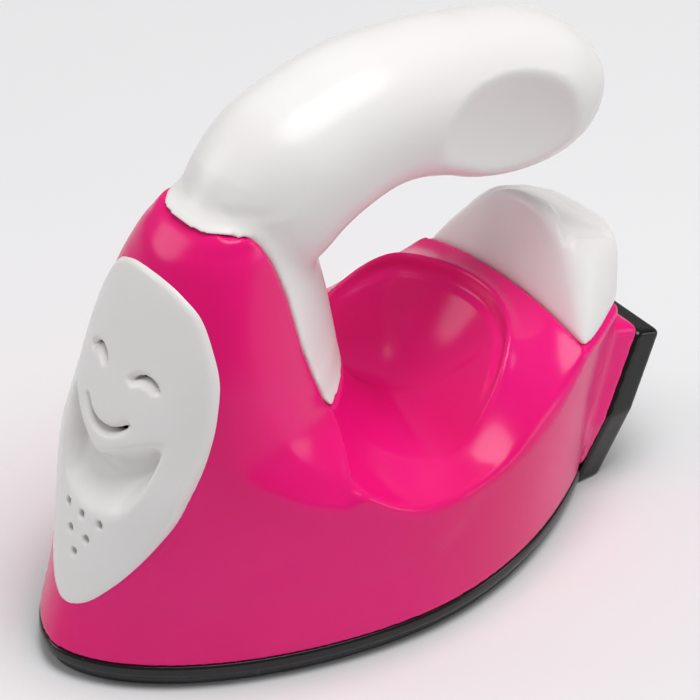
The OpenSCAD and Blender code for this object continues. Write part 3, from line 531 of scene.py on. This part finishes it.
from_y, from_z = side_y - middle[row, 0], side_z - middle[row, 1]
across = (from_y * arm[row, 0] + from_z * arm[row, 1]) / reach[row] ** 2
half_width = (rows[:, 4] * GRIP_HALF_W)[row]
section = np.power(X / half_width, GRIP_POWER) + np.power(np.abs(across), GRIP_POWER)
gauge = np.power(section, 1 / GRIP_POWER) - 1
grip = np.clip(as_length(gauge, GRIP_BOX.step), -GRIP_FAR, GRIP_FAR)

def beyond(k, sign):
    """Length past one of the handle's lines."""
    d = low[k] - top[k]
    return sign * (d[0] * (side_z - top[k][1]) - d[1] * (side_y - top[k][0])) / np.hypot(*d)

for end, sign in ((0, -1), (-1, 1)):
    grip = keep_both(grip, np.broadcast_to(beyond(end, sign), grip.shape), GRIP_END_FILLET)
print("handle rows:", len(rows), "inside:", int((grip < 0).sum()))

# %% [markdown]
# The thumb rests in a shallow oval on each side, near the free end. It is the cut of a big ball
# with a softened rim.

# %% Handle neck and thumb ovals
NECK_DROP, NECK_FILLET, NECK_LAP, NECK_EDGE = 0.4, 2.0, 0.08, 1.0
GRIP_IN_NECK, GRIP_FILLET, TONGUE_LIFT = 1.2, 2.0, 0.1
BALL_X, BALL_Y, BALL_Z, BALL_R = 40.5, 26.5, 76.6, 31.2
BALL_SHORT_Y, BALL_LONG_Z, BALL_FILLET = 1.02, 0.95, 0.7
head = as_length(head_gauge(X, Y, Z), GRIP_BOX.step)
neck = keep_both(head, Z - HOOD_Z + NECK_DROP, NECK_FILLET)
behind = keep_both(neck, NECK_LAP - neck_line(Y, Z), NECK_EDGE)
grip = keep_both(grip, -np.maximum(neck_line(Y, Z), neck + GRIP_IN_NECK), 0.3)
handle = join(grip, behind, GRIP_FILLET)
handle = keep_both(handle, TONGUE_Z + TONGUE_LIFT - Z, 0.5)
ball_y, ball_z = (Y - BALL_Y) * BALL_SHORT_Y, (Z - BALL_Z) * BALL_LONG_Z
ball = np.sqrt((X - BALL_X) ** 2 + ball_y ** 2 + ball_z ** 2) - BALL_R
handle = keep_both(handle, -ball, BALL_FILLET)
handle_skin = skin_of("handle", handle, GRIP_BOX, ["handle_left", "handle_right"], 8)

# %% [markdown]
# ## Rear cap
# A white cap closes the back above the heel. It is faceted like a cut stone, with rounded
# edges, so the faces of a hull of its corners are joined by a soft cut. A shallow notch is
# pressed into the middle of its back slope.

# %% Rear cap
CAP_W, CAP_L, CAP_H, CAP_GAP = 45.0, 21.6, 18.0, 0.2
CAP_FILLET, CAP_SEAT_FILLET, NOTCH_D, NOTCH_SOFT = 2.6, 0.5, 0.55, 0.9
NOTCH_Y, NOTCH_FROM_Y, NOTCH_SLANT, NOTCH_W, NOTCH_Z = 9.2, 36.6, 0.5, 10.5, 44.8
FLAT_ANGLE = math.radians(1.5)

def hull_of(name, corners):
    """The tightest closed form round some corners."""
    mesh = bpy.data.meshes.new(name)
    form = bmesh.new()
    for c in corners:
        form.verts.new(Vector(c))
    result = bmesh.ops.convex_hull(form, input=form.verts)
    bmesh.ops.delete(form, geom=result["geom_interior"] + result["geom_unused"], context="VERTS")
    bmesh.ops.dissolve_limit(form, angle_limit=FLAT_ANGLE, verts=form.verts, edges=form.edges)
    bmesh.ops.recalc_face_normals(form, faces=form.faces)
    form.to_mesh(mesh)
    form.free()
    return mesh

def cap_corner(x_share, y_share, z_share):
    """A corner from shares of the cap's half width, length and height."""
    y = CAP_Y + CAP_GAP + y_share * CAP_L
    z = CAP_SEAT_Z + z_share * CAP_H
    return x_share * CAP_W / 2 * MM, y * MM, z * MM

CAP_SHARES = [(0.99, 0.00, 0.00), (0.45, -0.01, 0.19), (0.10, -0.01, 0.27),
              (0.52, 0.24, 0.80), (0.14, 0.22, 1.0), (0.48, 0.80, 0.62),
              (0.16, 0.99, 0.46), (0.52, 0.76, 0.00), (0.16, 0.99, 0.00)]
corners = [cap_corner(side * a, b, c) for a, b, c in CAP_SHARES for side in (-1, 1)]
stone = hull_of("cap_stone", corners)
CAP_BOX = Box(24.5, 34.5, 60.5, 33.0, 55.0, 0.42)
DEEP_IN, FACES_DOWN, FACES_FRONT = -30.0, -0.5, -0.9
X, Y, Z = half_box(CAP_BOX)
cap_field = np.full(X.shape, DEEP_IN)
for face in sorted(stone.polygons, key=lambda f: f.normal.z, reverse=True):
    n, c = face.normal, face.center / MM
    plane = n.x * (X - c.x) + n.y * (Y - c.y) + n.z * (Z - c.z)
    hidden = n.z < FACES_DOWN or n.y < FACES_FRONT
    cap_field = keep_both(cap_field, plane, CAP_SEAT_FILLET if hidden else CAP_FILLET)
bpy.data.meshes.remove(stone)
notch_front = NOTCH_Y - Y + NOTCH_FROM_Y - NOTCH_SLANT * X
notch = np.maximum(np.maximum(notch_front, X - NOTCH_W), NOTCH_Z - Z)
cap_field = cap_field + NOTCH_D * ease(-notch / NOTCH_SOFT)
cap = skin_of("rear_cap", cap_field, CAP_BOX, ["rear_cap"], 4)

# %% [markdown]
# ## Skirt and soleplate
# The base is two layers: the glossy black skirt under the rim and the soleplate inside it, whose grey is
# a painted reflection of the pale floor on its edge.
# Both follow the boat's outline, and their edges are turned over, so a few rings of that
# outline, each drawn in and set at a height, make the section. The openings are cut out after.

# %% Base layers
OUTLINE_STEPS, ROD_SIDES = 56, 32
HEEL_CLEAR, HEEL_SLANT, LEVEL = 0.35, 0.3, 0.999
SHANK_R, SCREW_HEAD_R, SCREW_HEAD_Z = 1.45, 2.62, 1.6

def boat_outline(inset, count):
    """The base outline from the nose round the left side to the back, then mirrored."""
    front = (HEAD[0, 1] - BOAT_LEAD) * BODY_L + inset
    end = HEEL_LOW_Y - HEEL_CLEAR - inset * HEEL_SLANT
    half = []
    for i in range(count + 1):
        a = math.pi / 2 * i / count
        half.append(((HALF_W - inset) * math.sin(a) ** (2 / BOAT_POWER),
                     WIDE_Y - (WIDE_Y - front) * max(0.0, math.cos(a)) ** (2 / BOAT_POWER)))
    for i in range(1, count + 1):
        y = mix(WIDE_Y, end, i / count)
        u = (y - WIDE_Y) / BACK_REACH
        half.append((HALF_W * (1 - u * u) - inset, y))
    return half + [(-x, y) for x, y in reversed(half[1:])]

def layered(rings):
    """Joins rings of the outline, each an inset and a height, into one closed layer."""
    loops = [[(x, y, z) for x, y in boat_outline(inset, OUTLINE_STEPS)] for inset, z in rings]
    n = len(loops[0])
    points = [p for loop in loops for p in loop]
    faces = [list(range(n))[::-1], [(len(loops) - 1) * n + i for i in range(n)]]
    for k in range(len(loops) - 1):
        for i in range(n):
            j = (i + 1) % n
            faces.append([k * n + i, k * n + j, (k + 1) * n + j, (k + 1) * n + i])
    return points, faces

def block(name, low, high):
    """A box between two corners."""
    corners = list(itertools.product(*zip([v * MM for v in low], [v * MM for v in high])))
    return bpy.data.objects.new(name, hull_of(name, corners))

def rod(name, x, y, low_z, high_z, r):
    """An upright round bar."""
    turns = [2 * math.pi * i / ROD_SIDES for i in range(ROD_SIDES)]
    corners = [((x + r * math.cos(a)) * MM, (y + r * math.sin(a)) * MM, z * MM)
               for z in (low_z, high_z) for a in turns]
    return bpy.data.objects.new(name, hull_of(name, corners))

def opened(piece, tools):
    """Cuts each tool out of the piece, throws the tools away and shades level faces flat."""
    for tool in tools:
        bpy.context.scene.collection.objects.link(tool)
        shaped(piece, "BOOLEAN", "opening", operation="DIFFERENCE", object=tool, solver="EXACT")
        bpy.data.objects.remove(tool)
    tilted = [abs(face.normal.z) < LEVEL for face in piece.data.polygons]
    piece.data.polygons.foreach_set("use_smooth", tilted)

SOLE_SCREWS = [(7.0, -39.6), (-7.0, -39.6), (19.7, 24.0), (-19.7, 24.0)]
SLOT = ((-3.65, -49.55), (3.65, -45.25))
DOOR_WAY = ((-15, -28.9, 1), (15, 24.1, 6))
DOOR_SEAT = ((-16.15, -30.05, -1), (16.15, 25.25, 4))
HINGE_WAY = ((-18.2, -29.8, 0.4), (18.2, -28.2, 2.0))
SKIRT_RINGS = [(1.4, 2.2), (0.5, 2.22), (0.12, 2.5), (0.0, 2.9), (0.0, 3.9), (0.12, 4.3),
               (0.5, 4.58), (1.4, 4.6)]
SOLE_RINGS = [(2.3, 0.0), (1.8, 0.05), (1.48, 0.35), (1.4, 0.8), (1.4, 2.2)]
points, faces = layered(SKIRT_RINGS)
skirt = piece_of("base_skirt_skin", points, faces, "iron", ["base_skirt"])
opened(skirt, [block("door_way", *DOOR_WAY),
               block("slot_way", (*SLOT[0], 1), (*SLOT[1], 6))]
       + [rod("screw_way", x, y, 1, 6, SHANK_R) for x, y in SOLE_SCREWS])
points, faces = layered(SOLE_RINGS)
sole = piece_of("soleplate_skin", points, faces, "iron", ["soleplate"])
opened(sole, [block("door_way", *DOOR_SEAT),
              block("hinge_way", *HINGE_WAY),
              block("slot_way", (*SLOT[0], -1), (*SLOT[1], 4))]
       + [rod("screw_way", x, y, -1, 4, SHANK_R) for x, y in SOLE_SCREWS]
       + [rod("head_way", x, y, -1, SCREW_HEAD_Z, SCREW_HEAD_R) for x, y in SOLE_SCREWS])

# %% [markdown]
# ## Heel
# The iron stands up on its heel: a black plate that is folded like the boss that carries it,
# and a rubber pad that stands out a millimetre from the plate. Both come from fields again,
# because their edges are round. The plate is thicker here than in the construction.

# %% Heel plate and pad
HEEL_BOX = Box(18.5, 39.5, 64.0, -1.0, 29.0, 0.34)
PAD_T, PAD_LIFT, PAD_IN, LID_LIFT = 1.0, 0.03, 2.0, 0.2
PAD_FILLET, PLATE_EDGE = 0.9, 1.0
X, Y, Z = half_box(HEEL_BOX)
back_face = heel_face(Y, Z, HEEL_T)
front_face = heel_face(Y, Z, 0.0)
lid = Z - HEEL_H - LID_LIFT + LID_FALL * (Y - HEEL_TOP_Y)
plate = keep_both(back_face, -front_face, 0.35)
plate = keep_both(plate, heel_sides(X, Z), PLATE_EDGE)
plate = keep_both(keep_both(plate, -Z, 0.5), lid, PLATE_EDGE)
heel_plate = skin_of("heel_plate", plate, HEEL_BOX, ["heel_plate"], 2)
pad = keep_both(heel_face(Y, Z, HEEL_T + PAD_T), -heel_face(Y, Z, HEEL_T + PAD_LIFT), 0.3)
pad = keep_both(pad, heel_sides(X, Z) + PAD_IN, PAD_FILLET)
pad = keep_both(keep_both(pad, PAD_IN - Z, PAD_FILLET), lid + PAD_IN, PAD_FILLET)
heel_pad = skin_of("heel_pad", pad, HEEL_BOX, ["heel_pad"], 2)

# %% [markdown]
# ## Finishes
# A finish changes over the surface: plastic is never one colour or one gloss. A small class
# wraps a socket, so that the maths of a mask reads as plain sums. What varies feeds the base
# colour, the roughness or a bump, and what is the same everywhere is set on the shader.

# %% Shader helper
class Num:
    """A number that changes over a surface."""
    def __init__(self, finish, socket):
        self.finish = finish
        self.socket = socket

    def math(self, operation, *values):
        return self.finish.node("ShaderNodeMath", {"operation": operation}, dict(enumerate(values)))

    def __add__(self, other):
        return self.math("ADD", self, other)

    def __sub__(self, other):
        return self.math("SUBTRACT", self, other)

    def __rsub__(self, other):
        return self.math("SUBTRACT", other, self)

    def __mul__(self, other):
        return self.math("MULTIPLY", self, other)

    __radd__ = __add__
    __rmul__ = __mul__

class Finish:
    """One finish: a material, its shader and the nodes that vary it."""
    def __init__(self, name, **fixed):
        self.material = bpy.data.materials.new(name)
        self.material.use_nodes = True
        self.tree = self.material.node_tree
        self.shader = self.tree.nodes["Principled BSDF"]
        for key, value in fixed.items():
            self.shader.inputs[key.replace("_", " ")].default_value = value
        self.place = self.node("ShaderNodeTexCoord", {}, {}, "Object")

    def node(self, kind, settings, values, output=0):
        """Adds a node and gives back one of its outputs."""
        made = self.tree.nodes.new(kind)
        for key, value in settings.items():
            setattr(made, key, value)
        for key, value in values.items():
            if isinstance(value, Num):
                self.tree.links.new(value.socket, made.inputs[key])
            else:
                made.inputs[key].default_value = value
        return Num(self, made.outputs[output])

    def noise(self, scale, detail=3.0, stretch=(1, 1, 1)):
        spot = self.node("ShaderNodeVectorMath", {"operation": "MULTIPLY"}, {0: self.place, 1: stretch})
        return self.node("ShaderNodeTexNoise", {}, {"Vector": spot, "Scale": scale, "Detail": detail})

    def mask(self, value, low, high):
        """Turns part of a range into a smooth 0 to 1."""
        return self.node("ShaderNodeMapRange", {"interpolation_type": "SMOOTHSTEP"},
                         {"Value": value, "From Min": low, "From Max": high})

    def blend(self, factor, a, b):
        """A colour between two colours."""
        def shade(c):
            return c if isinstance(c, Num) else (*c, 1)
        return self.node("ShaderNodeMix", {"data_type": "RGBA"}, {0: factor, 6: shade(a), 7: shade(b)}, 2)

    def wire(self, name, value):
        self.tree.links.new(value.socket, self.shader.inputs[name])

    def bump(self, height, strength, distance):
        self.wire("Normal", self.node("ShaderNodeBump", {}, {"Height": height, "Strength": strength,
                                                             "Distance": distance}))

def linear(r, g, b):
    """A screen colour of 0 to 255 as light."""
    return tuple(((v / 255 + 0.055) / 1.055) ** 2.4 if v > 10 else v / 255 / 12.92 for v in (r, g, b))

# %% [markdown]
# ## Moulded plastic
# Pink and white are the same plastic, polished in the mould: a faint waviness from cooling, a
# very fine skin, and a little dust that dulls the gloss. Only colour and gloss differ.

# %% Moulded plastic
def moulded(name, deep, clear, dusty, roughness, parting=False):
    f = Finish(name, IOR=1.5, Specular_IOR_Level=0.3)
    drift = f.mask(f.noise(22, 2.0), 0.35, 0.65)
    colour = f.blend(drift, deep, clear)
    dust = f.mask(f.noise(95, 5.0), 0.5, 0.8)
    colour = f.blend(dust * 0.05, colour, dusty)
    f.wire("Base Color", colour)
    f.wire("Roughness", dust * 0.015 + f.noise(600, 2.0) * 0.03 + roughness)
    wave = f.noise(70, 1.0)
    skin = f.noise(1500, 2.0)
    height = wave * 0.8 + skin * 0.05
    if parting:
        split = f.node("ShaderNodeSeparateXYZ", {}, {0: f.place})
        line = 1 - f.mask(split.math("ABSOLUTE", split), 0.00004, 0.00016)
        height = height - line * 0.35
    f.bump(height, 0.08, 0.0005)
    return f.material

PINKS = linear(236, 10, 114), linear(244, 18, 127), linear(240, 80, 156)
WHITES = linear(238, 235, 234), linear(243, 241, 240), linear(226, 222, 219)
PINK = moulded("pink_moulding", *PINKS, 0.20)
WHITE = moulded("white_moulding", *WHITES, 0.24)
WHITE_SPLIT = moulded("white_handle", *WHITES, 0.24, parting=True)

# %% [markdown]
# ## Black base, rubber and hidden parts
# The base is glossy black with fine rub marks from sliding. The soleplate is more rubbed, and its grey is
# a painted reflection of the pale floor on its edge, not its own colour. The heel pad is matt rubber with
# a grain. The parts inside get the plain finishes of their trade: plated steel, board lacquer, cell foil
# and red plastic.

# %% Other finishes
def rubbed(name, dark, worn, roughness, grain, rub, metallic=0.0):
    f = Finish(name, Metallic=metallic, IOR=1.5)
    marks = f.mask(f.noise(300, 4.0, (6, 1, 1)), 0.60, 0.76)
    cloud = f.mask(f.noise(60, 3.0), 0.4, 0.7)
    f.wire("Base Color", f.blend(marks * rub + cloud * 0.15, dark, worn))
    f.wire("Roughness", marks * 0.16 + cloud * 0.06 + roughness)
    f.bump(f.noise(grain, 3.0) * 0.5 - marks * 0.1, 0.2, 0.0004)
    return f.material

BLACK = rubbed("black_gloss", linear(4, 4, 5), linear(15, 15, 17), 0.2, 900, 0.4)
# The soleplate's grey is a painted reflection of the pale floor on its glossy edge; its rub marks are
# real wear.
SOLE_PAINTED_REFLECTION = rubbed("sole_painted_reflection", linear(40, 40, 44), linear(92, 92, 98), 0.28, 1200, 0.5)
RUBBER = rubbed("heel_rubber", linear(16, 16, 17), linear(44, 43, 42), 0.62, 2600, 0.3)
DARK = rubbed("dark_moulding", linear(30, 30, 33), linear(70, 70, 74), 0.42, 1500, 0.3)
STEEL = rubbed("plated_steel", linear(176, 178, 182), linear(120, 118, 112), 0.26, 1800, 0.5, 1.0)
SPRING = rubbed("spring_steel", linear(196, 190, 176), linear(140, 130, 110), 0.22, 1600, 0.5, 1.0)
CELL = rubbed("cell_foil", linear(188, 150, 62), linear(120, 92, 40), 0.30, 900, 0.4, 0.6)
BOARD = rubbed("board_lacquer", linear(18, 92, 48), linear(60, 130, 80), 0.34, 1100, 0.3)
CHIP = rubbed("chip_resin", linear(20, 20, 22), linear(60, 60, 62), 0.5, 2200, 0.3)
RED = rubbed("red_lens", linear(200, 14, 20), linear(230, 60, 50), 0.22, 800, 0.2)
CONE = rubbed("speaker_paper", linear(58, 58, 60), linear(104, 102, 98), 0.6, 2000, 0.4)

# %% [markdown]
# ## Dressing every part
# New skins take their finish here, and each part that is carried over from the construction
# gets the finish of its own slot. The parts themselves stay as they are.

# %% Dress
for piece, finish in ((body_shell, PINK), (face_plate, WHITE), (handle_skin, WHITE_SPLIT), (cap, WHITE),
                      (skirt, BLACK), (sole, SOLE_PAINTED_REFLECTION), (heel_plate, BLACK), (heel_pad, RUBBER)):
    piece.data.materials.clear()
    piece.data.materials.append(finish)

BY_SLOT = {"pink": PINK, "white": WHITE, "black": BLACK, "sole": SOLE_PAINTED_REFLECTION, "pad": RUBBER, "dark": DARK,
           "cell": CELL, "spring_steel": SPRING, "board": BOARD, "chip": CHIP, "red": RED,
           "speaker": CONE, "screw": STEEL}
for name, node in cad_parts.items():
    slot = node.data.materials[0].name.split(".")[0]
    finish = BY_SLOT.get(slot, DARK)
    node.data.materials.clear()
    node.data.materials.append(finish)
    print("dressed", name, "as", slot)
print("parts dressed:", len(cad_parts))

# %% [markdown]
# ## Studio
# A plain pale floor that runs out of view, one big soft light above, a weak fill behind the
# heel and a stronger one before the nose. The light is even, as the iron's own colours carry
# the picture.

# %% Studio
FLOOR_HALF, FLOOR_DROP, AIR_LIGHT = 6, 0.0001, 0.26
floor_corners = [(x * FLOOR_HALF, y * FLOOR_HALF, 0) for x, y in ((-1, -1), (1, -1), (1, 1), (-1, 1))]
floor_mesh = bpy.data.meshes.new("floor")
floor_mesh.from_pydata(floor_corners, [], [(0, 1, 2, 3)])
floor = bpy.data.objects.new("floor", floor_mesh)
bpy.context.scene.collection.objects.link(floor)
floor.location.z = -FLOOR_DROP
paper = Finish("pale_floor", Roughness=0.9)
paper.wire("Base Color", paper.blend(paper.noise(8, 2.0), linear(238, 238, 239), linear(233, 233, 235)))
floor_mesh.materials.append(paper.material)
floor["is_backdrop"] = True

def soft_light(name, place, look, size, power):
    """A round soft light at a place, turned to a point."""
    lamp = bpy.data.lights.new(name, "AREA")
    lamp.shape = "DISK"
    lamp.size = size
    lamp.energy = power
    holder = bpy.data.objects.new(name, lamp)
    bpy.context.scene.collection.objects.link(holder)
    holder.location = Vector(place)
    holder.rotation_euler = (Vector(look) - Vector(place)).to_track_quat("-Z", "Y").to_euler()

soft_light("top_soft", (0.14, 0.1, 0.9), (0, 0, 0.03), 0.7, 6.6)
soft_light("heel_fill", (0.6, 0.8, 0.25), (0, 0, 0.03), 0.4, 0.8)
soft_light("face_fill", (-0.8, -0.75, 0.6), (0, 0, 0.04), 0.6, 2.4)
world = bpy.data.worlds.new("studio_air")
world.use_nodes = True
air = world.node_tree.nodes["Background"]
air.inputs["Color"].default_value = (1, 1, 1, 1)
air.inputs["Strength"].default_value = AIR_LIGHT
bpy.context.scene.world = world
bpy.context.scene.view_settings.view_transform = "Standard"

# %% Sizes and finish
low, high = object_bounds()
print("dressed box, mm:", [round(1000 * v, 1) for v in (*low, *high)])
